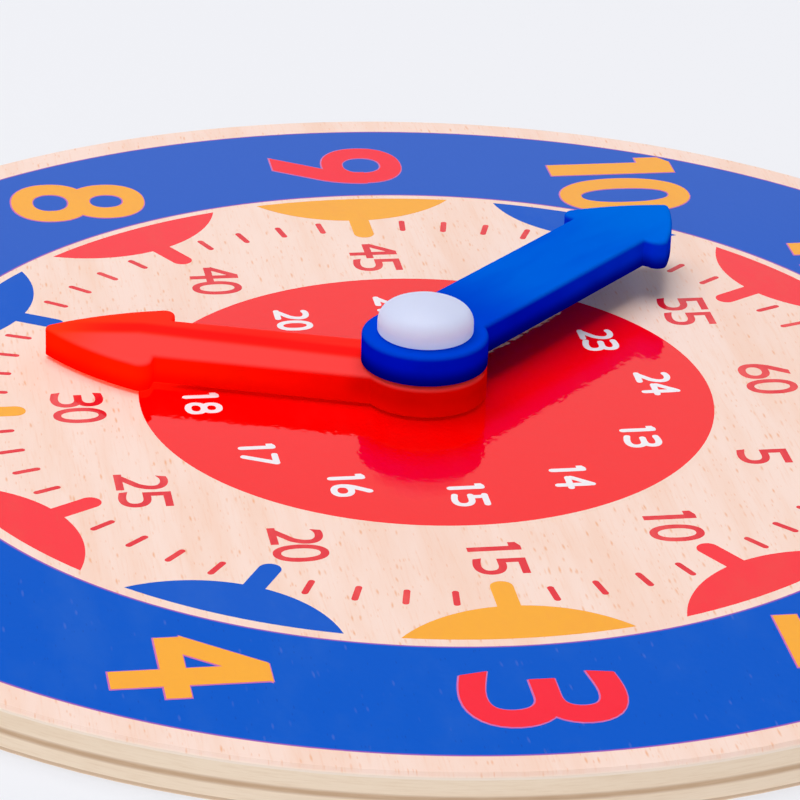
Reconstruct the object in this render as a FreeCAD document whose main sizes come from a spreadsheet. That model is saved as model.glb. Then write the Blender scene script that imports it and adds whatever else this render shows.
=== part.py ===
"""Round plywood teaching clock with two hands on a snap rivet, as a parametric FreeCAD document.

The dial lies in the XY plane and faces +Z. The origin is the centre of the back face,
+Y points at twelve o'clock and +X at three. All lengths are millimetres.

The board is one disc of five plies with sanded rims. A two-part plastic rivet passes through it:
the cap is a domed head with a hollow shank, and the post is a flat head, let into the
back, whose pin snaps into the shank. The hour hand and, above it, the minute hand turn
freely on the shank, each with running clearance.
"""
import FreeCAD, Part

import math
import os

import Sketcher

# name, value, what it is
SIZES = [
    ("board_radius", 75.0, "outer radius of the plywood board"),
    ("board_chamfer", 0.35, "sanded slope along both rims of the board"),
    ("face_veneer_depth", 0.6, "printed beech veneer"),
    ("upper_crossband_depth", 1.5, "ply under the face"),
    ("core_depth", 0.8, "middle ply"),
    ("lower_crossband_depth", 1.2, "ply above the back"),
    ("back_veneer_depth", 0.6, "bare veneer on the back"),
    ("hand_depth", 3.1, "thickness of both hands"),
    ("hub_radius", 6.37, "round hub of both hands"),
    ("hand_rounding", 0.4, "rounding of the top edges of the hands"),
    ("barb_corner", 1.1, "rounding of the barbs, seen from the front"),
    ("tip_corner", 0.6, "rounding of the tip, seen from the front"),
    ("notch_corner", 0.2, "rounding of the notch behind each barb, seen from the front"),
    ("minute_reach", 44.1, "centre of the shank to the tip of the minute hand"),
    ("minute_arm_half", 4.5, "half the width of the minute hand's arm"),
    ("minute_barb_half", 7.05, "half the width of the minute hand's arrowhead"),
    ("minute_head_length", 9.8, "tip of the minute hand to its barbs"),
    ("minute_lean", -0.65, "how far the minute hand's arm sits to the right of its hub"),
    ("minute_tip_lean", 0.5, "how far its tip sits to the right of its hub"),
    ("minute_head_bulge", 0.6, "how far the sides of that arrowhead bow out"),
    ("hour_reach", 39.3, "centre of the shank to the tip of the hour hand"),
    ("hour_arm_half", 4.3, "half the width of the hour hand's arm"),
    ("hour_barb_half", 7.15, "half the width of the hour hand's arrowhead"),
    ("hour_head_length", 12.5, "tip of the hour hand to its barbs"),
    ("hour_head_bulge", 0.8, "how far the sides of that arrowhead bow out"),
    ("minute_angle", 315.4, "where the minute hand points, in degrees clockwise from twelve"),
    ("hour_angle", 198.6, "where the hour hand points, in degrees clockwise from twelve"),
    ("dial_gap", 0.4, "air between the dial and the hour hand"),
    ("hand_gap", 0.3, "air between the two hands"),
    ("cap_gap", 0.1, "air between the minute hand and the cap"),
    ("cap_radius", 4.82, "upright wall of the domed cap"),
    ("cap_height", 3.5, "foot of that wall to the top of the dome"),
    ("cap_crown_radius", 8.5, "curve of the top of the dome"),
    ("cap_shoulder_radius", 1.7, "curve between the dome and the wall"),
    ("cap_rounding", 0.2, "rounding of the foot of the wall"),
    ("shank_radius", 2.2, "outside of the hollow shank"),
    ("shank_clearance", 0.06, "radial running clearance of the hands on the shank"),
    ("board_clearance", 0.15, "radial clearance of the shank in the board"),
    ("pin_radius", 1.25, "pin of the post"),
    ("pin_clearance", 0.05, "radial clearance of the pin in the shank"),
    ("pin_length", 7.4, "pin above the head of the post"),
    ("pin_top_room", 0.6, "air above the end of the pin"),
    ("pin_chamfer", 0.3, "lead-in at the end of the pin"),
    ("bead_height", 0.18, "how far the snap bead stands out of the pin"),
    ("bead_width", 1.0, "snap bead along the pin"),
    ("bead_drop", 1.4, "end of the pin to the middle of the bead"),
    ("post_head_radius", 4.5, "flat head of the post"),
    ("post_head_depth", 1.2, "thickness of that head"),
    ("post_head_rounding", 0.3, "rounding of its outer edge"),
    ("post_head_recess", 0.2, "how far that head stays below the back face"),
    ("post_head_clearance", 0.3, "radial clearance of that head in its counterbore"),
]

# Expressions that several pieces share, written over the spreadsheet's aliases.
PLIES = [
    # label, alias of its thickness, from the back to the face
    ("back_veneer", "back_veneer_depth"),
    ("lower_crossband", "lower_crossband_depth"),
    ("core_ply", "core_depth"),
    ("upper_crossband", "upper_crossband_depth"),
    ("face_veneer", "face_veneer_depth"),
]
BOARD_DEPTH = "(" + " + ".join("Sizes." + alias for label, alias in PLIES) + ")"
HOUR_BASE = BOARD_DEPTH + " + Sizes.dial_gap"
MINUTE_BASE = HOUR_BASE + " + Sizes.hand_depth + Sizes.hand_gap"
CAP_BASE = MINUTE_BASE + " + Sizes.hand_depth + Sizes.cap_gap"
RECESS_DEPTH = "(Sizes.post_head_recess + Sizes.post_head_depth)"
HAND_BORE = "Sizes.shank_radius + Sizes.shank_clearance"
PIN_BORE = "Sizes.pin_radius + Sizes.pin_clearance"
BEAD_MIDDLE = "(" + RECESS_DEPTH + " + Sizes.pin_length - Sizes.bead_drop)"

# Sketcher's own numbers for the points of an arc and for the axes.
POINT = {"start": 1, "end": 2, "centre": 3}
AXIS = {"x": -1, "y": -2}
ORIGIN_POINT = (AXIS["x"], POINT["start"])

TOLERANCE = 0.001

doc = FreeCAD.newDocument("TeachingClock")


def make_sizes():
    """Spreadsheet of driving dimensions: one row each, with its alias and a note."""
    sheet = doc.addObject("Spreadsheet::Sheet", "Sizes")
    for row, (name, value, note) in enumerate(SIZES, start=1):
        sheet.set("A%d" % row, name)
        sheet.set("B%d" % row, str(value))
        sheet.set("C%d" % row, note)
        sheet.setAlias("B%d" % row, name)
    doc.recompute()
    return sheet


def value_of(expression):
    """What an expression over the spreadsheet comes to, as a plain number."""
    return float(sheet.evalExpression(expression.replace("Sizes.", "")))


def origin_plane(body, role):
    """One of a body's own origin planes, such as XY_Plane."""
    for feature in body.Origin.OriginFeatures:
        if feature.Role == role:
            return feature
    raise ValueError("no origin plane " + role)


def new_body(label):
    """An empty body whose label is the name of the piece."""
    body = doc.addObject("PartDesign::Body", label)
    body.Label = label
    return body


def new_sketch(body, name, role):
    """An empty sketch on one of a body's own origin planes."""
    sketch = body.newObject("Sketcher::SketchObject", name)
    sketch.AttachmentSupport = [(origin_plane(body, role), "")]
    sketch.MapMode = "FlatFace"
    return sketch


def bind(sketch, kind, geometry, point, expression):
    """Tie one coordinate of a sketch point to an expression, or to an axis where it is zero."""
    if expression == "0":
        axis = AXIS["y"] if kind == "DistanceX" else AXIS["x"]
        sketch.addConstraint(Sketcher.Constraint("PointOnObject", geometry, point, axis))
        return
    start = ORIGIN_POINT
    number = value_of(expression)
    index = sketch.addConstraint(
        Sketcher.Constraint(kind, start[0], start[1], geometry, point, number))
    sketch.setExpression("Constraints[%d]" % index, expression)


def arc_between(begin, finish, centre, clockwise):
    """Arc of a circle from one point to another about a centre."""
    radius = math.hypot(begin[0] - centre[0], begin[1] - centre[1])
    first = math.atan2(begin[1] - centre[1], begin[0] - centre[0])
    last = math.atan2(finish[1] - centre[1], finish[0] - centre[0])
    circle = Part.Circle(FreeCAD.Vector(centre[0], centre[1], 0), FreeCAD.Vector(0, 0, 1), radius)
    if clockwise:
        return Part.ArcOfCircle(circle, last, first)
    return Part.ArcOfCircle(circle, first, last)


def draw_outline(sketch, corners, arcs):
    """Close an outline through its corners, each bound to a pair of expressions.

    corners lists (x, y) expressions. arcs gives, for the side that leaves a corner, the
    centre it starts from, whether it runs clockwise and the expression for its radius,
    or None where its centre stays on the vertical axis. Every other side is a line.
    """
    places = [(value_of(x), value_of(y)) for x, y in corners]
    ends = []
    for side, begin in enumerate(places):
        finish = places[(side + 1) % len(places)]
        if side in arcs:
            centre, clockwise, radius = arcs[side]
            curve = arc_between(begin, finish, centre, clockwise)
            geometry = sketch.addGeometry(curve, False)
            order = ("end", "start") if clockwise else ("start", "end")
        else:
            line = Part.LineSegment(FreeCAD.Vector(begin[0], begin[1], 0),
                                    FreeCAD.Vector(finish[0], finish[1], 0))
            geometry = sketch.addGeometry(line, False)
            order = ("start", "end")
        ends.append((geometry, POINT[order[0]], POINT[order[1]]))
    for side, (geometry, first, last) in enumerate(ends):
        after = ends[(side + 1) % len(ends)]
        sketch.addConstraint(
            Sketcher.Constraint("Coincident", geometry, last, after[0], after[1]))
    for side, (x, y) in enumerate(corners):
        geometry, first, last = ends[side]
        bind(sketch, "DistanceX", geometry, first, x)
        bind(sketch, "DistanceY", geometry, first, y)
    for side, (centre, clockwise, radius) in arcs.items():
        geometry = ends[side][0]
        if radius is None:
            sketch.addConstraint(
                Sketcher.Constraint("PointOnObject", geometry, POINT["centre"], AXIS["y"]))
        else:
            index = sketch.addConstraint(
                Sketcher.Constraint("Radius", geometry, value_of(radius)))
            sketch.setExpression("Constraints[%d]" % index, radius)


def is_level(edge):
    """Whether an edge lies at one height."""
    return edge.BoundBox.ZLength < TOLERANCE


def is_upright_at(edge, spots):
    """Whether an edge stands on one of the given places of the outline."""
    middle = edge.BoundBox.Center
    return not is_level(edge) and any(
        math.hypot(middle.x - x, middle.y - y) < TOLERANCE for x, y in spots)


def is_circle_of(edge, radius):
    """Whether an edge is a full level circle of a given radius."""
    return is_level(edge) and abs(edge.BoundBox.XLength - 2 * radius) < TOLERANCE


def dress_edges(body, base, kind, name, keep, size):
    """Fillet or chamfer every edge of the base feature that keep() accepts."""
    doc.recompute()
    edges = ["Edge%d" % number for number, edge in enumerate(base.Shape.Edges, start=1)
             if keep(edge)]
    if not edges:
        raise ValueError(name + " finds no edges")
    dress = body.newObject("PartDesign::" + kind, name)
    dress.Base = (base, edges)
    dress.setExpression("Radius" if kind == "Fillet" else "Size", size)
    doc.recompute()
    return dress


def make_board_blank():
    """The whole board with its sanded rims, which the plies are cut out of."""
    body = new_body("board_blank")
    sketch = new_sketch(body, "board_circle", "XY_Plane")
    circle = sketch.addGeometry(
        Part.Circle(FreeCAD.Vector(0, 0, 0), FreeCAD.Vector(0, 0, 1),
                    value_of("Sizes.board_radius")), False)
    sketch.addConstraint(
        Sketcher.Constraint("Coincident", circle, POINT["centre"], *ORIGIN_POINT))
    index = sketch.addConstraint(
        Sketcher.Constraint("Radius", circle, value_of("Sizes.board_radius")))
    sketch.setExpression("Constraints[%d]" % index, "Sizes.board_radius")
    pad = body.newObject("PartDesign::Pad", "board_pad")
    pad.Profile = sketch
    pad.setExpression("Length", BOARD_DEPTH)
    dress_edges(body, pad, "Chamfer", "board_rims", is_level, "Sizes.board_chamfer")
    return body


def make_cylinder(name, radius, height, base):
    """Cylinder about the clock's axis, used as a cutter."""
    cylinder = doc.addObject("Part::Cylinder", name)
    cylinder.setExpression("Radius", radius)
    cylinder.setExpression("Height", height)
    cylinder.setExpression("Placement.Base.z", base)
    return cylinder


def make_board_bore():
    """What is drilled out of the board: the shank's hole and the counterbore in the back."""
    hole = make_cylinder("shank_hole", "Sizes.shank_radius + Sizes.board_clearance",
                         BOARD_DEPTH, "0")
    recess = make_cylinder("post_recess",
                           "Sizes.post_head_radius + Sizes.post_head_clearance",
                           RECESS_DEPTH, "0")
    bore = doc.addObject("Part::Fuse", "board_bore")
    bore.Base = hole
    bore.Tool = recess
    return bore


def make_ply(label, blank, bore, depth, base):
    """One ply: a slice of the board with the bore through it."""
    slab = make_cylinder(label + "_slab", "2 * Sizes.board_radius", depth, base)
    slice_ = doc.addObject("Part::Common", label + "_slice")
    slice_.Base = blank
    slice_.Tool = slab
    ply = doc.addObject("Part::Cut", label)
    ply.Base = slice_
    ply.Tool = bore
    ply.Label = label
    return ply


def revolve(body, sketch, name):
    """Turn a half profile, drawn in the XZ plane, about the clock's axis."""
    turned = body.newObject("PartDesign::Revolution", name)
    turned.Profile = sketch
    turned.ReferenceAxis = (sketch, ["V_Axis"])
    turned.Angle = 360
    return turned


def bowed_side(begin, finish, bulge):
    """Centre of the arc between two corners that bows out by an expression, and its radius.

    The corners are pairs of expressions and follow each other anticlockwise.
    """
    across = "(%s - (%s))" % (finish[0], begin[0])
    along = "(%s - (%s))" % (finish[1], begin[1])
    radius = "((%s ^ 2 + %s ^ 2) / 4 + %s ^ 2) / (2 * %s)" % (across, along, bulge, bulge)
    step_x, step_y = value_of(across), value_of(along)
    back = (value_of(radius) - value_of(bulge)) / math.hypot(step_x, step_y)
    centre = (value_of(begin[0]) + step_x / 2 - back * step_y,
              value_of(begin[1]) + step_y / 2 + back * step_x)
    return centre, False, radius


def make_hand(label, prefix, base, lean="0", tip="0"):
    """Arrow-shaped hand with a round hub, drawn pointing at twelve and then turned.

    lean and tip say how far to the right of the hub its arm and its tip sit.
    """
    reach = "Sizes.%s_reach" % prefix
    arm = "Sizes.%s_arm_half" % prefix
    barb = "Sizes.%s_barb_half" % prefix
    head = "Sizes.%s_head_length" % prefix
    bulge = "Sizes.%s_head_bulge" % prefix
    barb_line = "%s - %s" % (reach, head)
    right_arm, left_arm = "%s + %s" % (lean, arm), "%s - %s" % (lean, arm)
    right_barb, left_barb = "%s + %s" % (lean, barb), "%s - %s" % (lean, barb)
    throat = "sqrt(Sizes.hub_radius ^ 2 - (%s) ^ 2)"

    corners = [
        (right_arm, throat % right_arm),
        (right_arm, barb_line),
        (right_barb, barb_line),
        (tip, reach),
        (left_barb, barb_line),
        (left_arm, barb_line),
        (left_arm, throat % left_arm),
    ]
    arcs = {
        2: bowed_side(corners[2], corners[3], bulge),
        3: bowed_side(corners[3], corners[4], bulge),
        6: ((0.0, 0.0), False, "Sizes.hub_radius"),
    }

    body = new_body(label)
    sketch = new_sketch(body, label + "_outline", "XY_Plane")
    draw_outline(sketch, corners, arcs)
    shape = body.newObject("PartDesign::Pad", label + "_pad")
    shape.Profile = sketch
    shape.setExpression("Length", "Sizes.hand_depth")
    roundings = [
        # what is rounded, the outline's corners there, size
        ("barbs", (2, 4), "Sizes.barb_corner"),
        ("tip", (3,), "Sizes.tip_corner"),
        ("notches", (0, 1, 5, 6), "Sizes.notch_corner"),
    ]
    for part, places, size in roundings:
        spots = [(value_of(corners[place][0]), value_of(corners[place][1])) for place in places]
        shape = dress_edges(body, shape, "Fillet", "%s_%s" % (label, part),
                            lambda edge: is_upright_at(edge, spots), size)
    rim = dress_edges(body, shape, "Fillet", label + "_edges",
                      lambda edge: is_level(edge) and edge.BoundBox.ZMin > TOLERANCE,
                      "Sizes.hand_rounding")

    hole = new_sketch(body, label + "_bore_circle", "XY_Plane")
    circle = hole.addGeometry(
        Part.Circle(FreeCAD.Vector(0, 0, 0), FreeCAD.Vector(0, 0, 1), value_of(HAND_BORE)), False)
    hole.addConstraint(
        Sketcher.Constraint("Coincident", circle, POINT["centre"], *ORIGIN_POINT))
    index = hole.addConstraint(Sketcher.Constraint("Radius", circle, value_of(HAND_BORE)))
    hole.setExpression("Constraints[%d]" % index, HAND_BORE)
    solid_volume = rim.Shape.Volume
    bore = body.newObject("PartDesign::Pocket", label + "_bore")
    bore.Profile = hole
    bore.Type = "ThroughAll"
    bore.Midplane = True
    doc.recompute()
    if bore.Shape.Volume >= solid_volume:
        raise ValueError(label + " has no bore")

    body.setExpression("Placement.Base.z", base)
    body.setExpression("Placement.Rotation.Angle", "-1 * Sizes.%s_angle" % prefix)
    body.Placement.Rotation.Axis = FreeCAD.Vector(0, 0, 1)
    return body


def make_cap():
    """Domed head and the hollow shank below it, with the groove that takes the snap bead."""
    top = CAP_BASE + " + Sizes.cap_height"
    crown = "Sizes.cap_crown_radius"
    shoulder = "Sizes.cap_shoulder_radius"
    # The shoulder touches the wall, and the crown from inside: both centres and the point
    # where the two curves meet are in one line.
    across = "(Sizes.cap_radius - %s)" % shoulder
    apart = "(%s - %s)" % (crown, shoulder)
    crown_centre = "%s - %s" % (top, crown)
    rise = "sqrt(%s ^ 2 - %s ^ 2)" % (apart, across)
    wall_end = "%s + %s" % (crown_centre, rise)
    bore_end = RECESS_DEPTH + " + Sizes.pin_length + Sizes.pin_top_room"
    groove = PIN_BORE + " + Sizes.bead_height"
    corners = [
        ("0", bore_end),
        (PIN_BORE, bore_end),
        (PIN_BORE, BEAD_MIDDLE + " + Sizes.bead_width / 2 + Sizes.bead_height"),
        (groove, BEAD_MIDDLE + " + Sizes.bead_width / 2"),
        (groove, BEAD_MIDDLE + " - Sizes.bead_width / 2"),
        (PIN_BORE, BEAD_MIDDLE + " - Sizes.bead_width / 2 - Sizes.bead_height"),
        (PIN_BORE, RECESS_DEPTH),
        ("Sizes.shank_radius", RECESS_DEPTH),
        ("Sizes.shank_radius", CAP_BASE),
        ("Sizes.cap_radius", CAP_BASE),
        ("Sizes.cap_radius", wall_end),
        ("%s * %s / %s" % (across, crown, apart),
         "%s + %s * %s / %s" % (crown_centre, rise, crown, apart)),
        ("0", top),
    ]
    arcs = {
        10: ((value_of(across), value_of(wall_end)), False, shoulder),
        11: ((0.0, value_of(crown_centre)), False, None),
    }

    body = new_body("rivet_cap")
    sketch = new_sketch(body, "cap_profile", "XZ_Plane")
    draw_outline(sketch, corners, arcs)
    turned = revolve(body, sketch, "cap_turned")
    foot = value_of(CAP_BASE)
    dress_edges(body, turned, "Fillet", "cap_foot",
                lambda edge: is_circle_of(edge, value_of("Sizes.cap_radius"))
                and abs(edge.BoundBox.ZMin - foot) < TOLERANCE,
                "Sizes.cap_rounding")
    return body


def make_post():
    """Flat head below the board and the pin with its snap bead."""
    pin_end = RECESS_DEPTH + " + Sizes.pin_length"
    bead = "Sizes.pin_radius + Sizes.bead_height"
    corners = [
        ("0", "Sizes.post_head_recess"),
        ("Sizes.post_head_radius", "Sizes.post_head_recess"),
        ("Sizes.post_head_radius", RECESS_DEPTH),
        ("Sizes.pin_radius", RECESS_DEPTH),
        ("Sizes.pin_radius", BEAD_MIDDLE + " - Sizes.bead_width / 2 - Sizes.bead_height"),
        (bead, BEAD_MIDDLE + " - Sizes.bead_width / 2"),
        (bead, BEAD_MIDDLE + " + Sizes.bead_width / 2"),
        ("Sizes.pin_radius", BEAD_MIDDLE + " + Sizes.bead_width / 2 + Sizes.bead_height"),
        ("Sizes.pin_radius", pin_end + " - Sizes.pin_chamfer"),
        ("Sizes.pin_radius - Sizes.pin_chamfer", pin_end),
        ("0", pin_end),
    ]
    body = new_body("rivet_post")
    sketch = new_sketch(body, "post_profile", "XZ_Plane")
    draw_outline(sketch, corners, {})
    turned = revolve(body, sketch, "post_turned")
    low = value_of("Sizes.post_head_recess")
    dress_edges(body, turned, "Fillet", "post_head_edge",
                lambda edge: is_circle_of(edge, value_of("Sizes.post_head_radius"))
                and abs(edge.BoundBox.ZMin - low) < TOLERANCE,
                "Sizes.post_head_rounding")
    return body


def check_and_export(pieces):
    """Stop on any failed object or shape, then write one STEP file for each piece."""
    doc.recompute()
    for item in doc.Objects:
        if "Invalid" in item.State or "Error" in item.State:
            raise RuntimeError("%s failed: %s" % (item.Label, item.State))
    for piece in pieces:
        shape = piece.Shape
        if shape.isNull() or not shape.isValid():
            raise RuntimeError(piece.Label + " has no valid shape")
        if len(shape.Solids) != 1:
            raise RuntimeError("%s has %d solids" % (piece.Label, len(shape.Solids)))
    os.makedirs("parts", exist_ok=True)
    for piece in pieces:
        piece.Shape.exportStep(os.path.join("parts", piece.Label + ".step"))
        box = piece.Shape.BoundBox
        print("%-16s volume %9.2f mm3  z %6.2f to %6.2f  radius %6.2f"
              % (piece.Label, piece.Shape.Volume, box.ZMin, box.ZMax, box.XLength / 2))


sheet = make_sizes()
blank = make_board_blank()
bore = make_board_bore()
pieces = []
base = "0"
for label, alias in PLIES:
    pieces.append(make_ply(label, blank, bore, "Sizes." + alias, base))
    base = base + " + Sizes." + alias
pieces.append(make_hand("hour_hand", "hour", HOUR_BASE))
pieces.append(make_hand("minute_hand", "minute", MINUTE_BASE, "Sizes.minute_lean",
                        "Sizes.minute_tip_lean"))
pieces.append(make_cap())
pieces.append(make_post())
check_and_export(pieces)
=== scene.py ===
import math
from typing import NamedTuple

import bmesh
import bpy
from bpy.props import FloatProperty, FloatVectorProperty, PointerProperty
from mathutils import Matrix, Vector
from mathutils.geometry import delaunay_2d_cdt


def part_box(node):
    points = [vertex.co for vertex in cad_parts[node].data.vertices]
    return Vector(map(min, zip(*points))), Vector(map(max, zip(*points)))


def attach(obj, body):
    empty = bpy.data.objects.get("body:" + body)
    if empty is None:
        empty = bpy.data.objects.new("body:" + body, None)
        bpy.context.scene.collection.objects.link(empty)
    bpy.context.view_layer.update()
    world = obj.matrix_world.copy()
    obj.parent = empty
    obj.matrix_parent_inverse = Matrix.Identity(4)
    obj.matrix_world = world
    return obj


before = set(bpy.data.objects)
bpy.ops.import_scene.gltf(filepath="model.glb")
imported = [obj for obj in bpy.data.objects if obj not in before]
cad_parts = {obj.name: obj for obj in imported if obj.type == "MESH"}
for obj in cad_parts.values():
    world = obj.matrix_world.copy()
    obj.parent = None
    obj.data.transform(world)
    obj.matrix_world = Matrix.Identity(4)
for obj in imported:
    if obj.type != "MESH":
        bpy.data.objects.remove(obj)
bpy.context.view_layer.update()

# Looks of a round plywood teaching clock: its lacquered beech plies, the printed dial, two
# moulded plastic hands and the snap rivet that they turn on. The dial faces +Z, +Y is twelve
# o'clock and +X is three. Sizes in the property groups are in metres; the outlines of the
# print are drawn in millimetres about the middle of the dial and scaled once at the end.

bl_info = {
    "name": "Teaching clock",
    "version": (1, 0, 0),
    "blender": (4, 5, 0),
    "location": "View3D > Sidebar > Clock",
    "description": "Dresses the teaching clock: plywood, printed dial, hands, rivet and stage",
    "category": "Object",
}

MM = 0.001
DIAL_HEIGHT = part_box("face_veneer")[1].z
BLACK = (0.0, 0.0, 0.0)


def length(name, description, default):
    """A length in metres, written here in millimetres."""
    return FloatProperty(name=name, description=description, default=default * MM,
                         unit="LENGTH", precision=5)


def angle(name, description, default):
    """An angle in radians, written here in degrees."""
    return FloatProperty(name=name, description=description, default=math.radians(default),
                         subtype="ANGLE")


def factor(name, description, default):
    """A plain number from 0 to 1."""
    return FloatProperty(name=name, description=description, default=default,
                         subtype="FACTOR", min=0.0, max=1.0)


def power(name, description, default):
    """The power of a lamp in watts."""
    return FloatProperty(name=name, description=description, default=default, unit="POWER")


def colour(name, description, default):
    """A colour, written as the linear values that a shader takes."""
    return FloatVectorProperty(name=name, description=description, default=default,
                               subtype="COLOR", size=3, min=0.0, max=1.0)


class ClockPrintSizes(bpy.types.PropertyGroup):
    """Sizes of what is printed on the dial"""
    offset_x: length("Print offset X", "How far the print sits from the shank towards three", 0.15)
    offset_y: length("Print offset Y", "How far the print sits from the shank towards twelve", 0.35)
    sunk: length("Sunk", "How far each film of ink reaches below the dial", 0.01)
    film: length("Film", "Thickness of one layer of ink", 0.012)
    hole_radius: length("Hole", "Radius of the bare hole in the middle of the print", 2.4)
    disc_radius: length("Red disc", "Radius of the middle disc", 28.98)
    ring_inner: length("Ring inside", "Inner radius of the blue ring", 52.42)
    ring_outer: length("Ring outside", "Outer radius of the blue ring", 71.70)
    ring_shift: length("Ring shift", "How far the blue plate was printed towards three", 0.19)
    ring_rim: length("Ring rim", "Width of the underprint that shows at the ring's edges", 0.30)
    tick_radius: length("Tick radius", "Radius of the middle of the minute ticks", 43.48)
    tick_length: length("Tick length", "Length of a minute tick", 2.9)
    tick_width: length("Tick width", "Width of a minute tick", 0.65)
    stem_inner: length("Stem end", "Inner end of the stem of a five-minute marker", 40.35)
    stem_width: length("Stem width", "Width of that stem", 2.2)
    lens_centre: length("Lens centre", "Radius of the centre of a marker's inner arc", 59.2)
    lens_radius: length("Lens radius", "Radius of a marker's inner arc", 14.05)
    lens_outer: length("Lens outside", "Radius of the outer arc of the markers", 51.3)
    halo: length("Halo", "How far the underprint shows around the hour numerals", 0.16)
    halo_x: length("Halo X", "How far it was printed towards three", 0.05)
    halo_y: length("Halo Y", "How far it was printed towards twelve", -0.04)


class ClockInks(bpy.types.PropertyGroup):
    """Colours of the inks, and of each where it lies thin"""
    blue: colour("Blue", "Ring and blue markers", (0.0, 0.097, 0.588))
    blue_thin: colour("Thin blue", "The same, worn", (0.008, 0.109, 0.588))
    # Painted reflection: the ring paler towards nine, its far side, where the gloss mirrors the
    # backdrop.
    blue_far_reflection: colour("Blue towards nine", "The ring where its plate was worn",
                     (0.034, 0.122, 0.565))
    blue_fleck: colour("Blue fleck", "Ray flecks that show through the ring", (0.20, 0.25, 0.62))
    blue_pore: colour("Blue pore", "Pores that took more of its ink", (0.004, 0.035, 0.33))
    disc: colour("Disc red", "Red disc", (0.95, 0.0, 0.0))
    disc_thin: colour("Thin disc red", "The same, worn", (0.9215, 0.004, 0.004))
    marker: colour("Marker red", "Red markers", (0.96, 0.010, 0.022))
    marker_thin: colour("Thin marker red", "The same, worn", (0.88, 0.04, 0.03))
    figure: colour("Figure red", "Minute figures and ticks", (0.78, 0.010, 0.022))
    figure_thin: colour("Thin figure red", "The same, worn", (0.88, 0.070, 0.065))
    crimson: colour("Crimson", "Red hour numerals", (0.96, 0.0, 0.024))
    crimson_thin: colour("Thin crimson", "The same, worn", (0.93, 0.0, 0.010))
    yellow: colour("Yellow", "Yellow markers and numerals", (0.96, 0.40, 0.008))
    yellow_thin: colour("Thin yellow", "The same, worn", (0.92, 0.34, 0.02))
    white: colour("White", "Figures of the 24 hours", (0.90, 0.86, 0.90))
    white_thin: colour("Thin white", "The same, worn", (0.85, 0.76, 0.80))
    violet: colour("Violet", "Underprint around the hour numerals", (0.62, 0.13, 0.42))
    violet_thin: colour("Thin violet", "The same, worn", (0.75, 0.28, 0.45))
    roughness: factor("Roughness", "Roughness of the gloss over the inks", 0.03)
    mirror: factor("Mirror", "How strongly the inks mirror", 0.20)
    mirror_disc: factor("Disc mirror", "How strongly the red disc mirrors", 0.22)
    mirror_crimson: factor("Crimson mirror", "How strongly the red hour numerals mirror", 0.14)
    mirror_blue: factor("Marker mirror", "How strongly the blue markers mirror", 0.04)
    mirror_ring: factor("Ring mirror", "How strongly the ring mirrors", 0.02)


class ClockWoods(bpy.types.PropertyGroup):
    """Colours of the wood"""
    face: colour("Face", "Lacquered face veneer", (0.95, 0.72, 0.63))
    face_dark: colour("Face grain", "Darker growth in the face veneer", (0.92, 0.64, 0.52))
    fleck: colour("Fleck", "Ray flecks of the beech", (0.84, 0.40, 0.19))
    edge: colour("Face edge", "Sanded edge of the face veneer", (0.98, 0.82, 0.70))
    crossband: colour("Crossband", "Edges of the crossbands", (0.95, 0.77, 0.60))
    pore: colour("Pores", "Darker pores in the crossbands and the back", (0.80, 0.59, 0.41))
    core: colour("Core", "Edge of the core ply", (0.58, 0.38, 0.24))
    back: colour("Back", "Bare back veneer", (0.80, 0.62, 0.46))
    back_edge: colour("Back edge", "Edge of the back veneer", (0.68, 0.48, 0.33))


class ClockHourHand(bpy.types.PropertyGroup):
    """Shape and colours that the red plastic follows"""
    turn: angle("Turn", "Where the hand points, clockwise from twelve", 198.6)
    reach: length("Reach", "From the shank to its tip", 39.3)
    arm: length("Arm", "Half the width of its arm", 4.3)
    groove: factor("Groove", "How deep the shade of the channel along its top is", 0.8)
    # Painted shade on the side of its hub, under the other hand's hub.
    hub_shade: factor("Hub shade", "How deep the side of its hub is", 0.6)
    side: colour("Side", "Its sides", (1.0, 0.004, 0.0))
    side_tip: colour("Side at the tip", "Its sides towards the tip", (1.0, 0.020, 0.0))
    # Painted shade where its sides meet its underside.
    foot: colour("Foot", "Where its sides meet its underside", (1.0, 0.004, 0.0))
    top: colour("Top", "Its top, paler with sky light", (1.0, 0.038, 0.024))
    top_tip: colour("Top at the tip", "Its top where the moulding runs out", (1.0, 0.055, 0.008))
    # Painted sheen: a reflection on the flat beside the channel.
    sheen: colour("Sheen", "The flat beside the channel", (1.0, 0.085, 0.080))
    inner: colour("Inner", "What it makes of the light that it lets through", (1.0, 0.016, 0.003))
    # Painted glow from its underside, for light that comes through the plastic.
    under: colour("Under", "Light that leaves its underside", (0.55, 0.085, 0.018))


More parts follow.
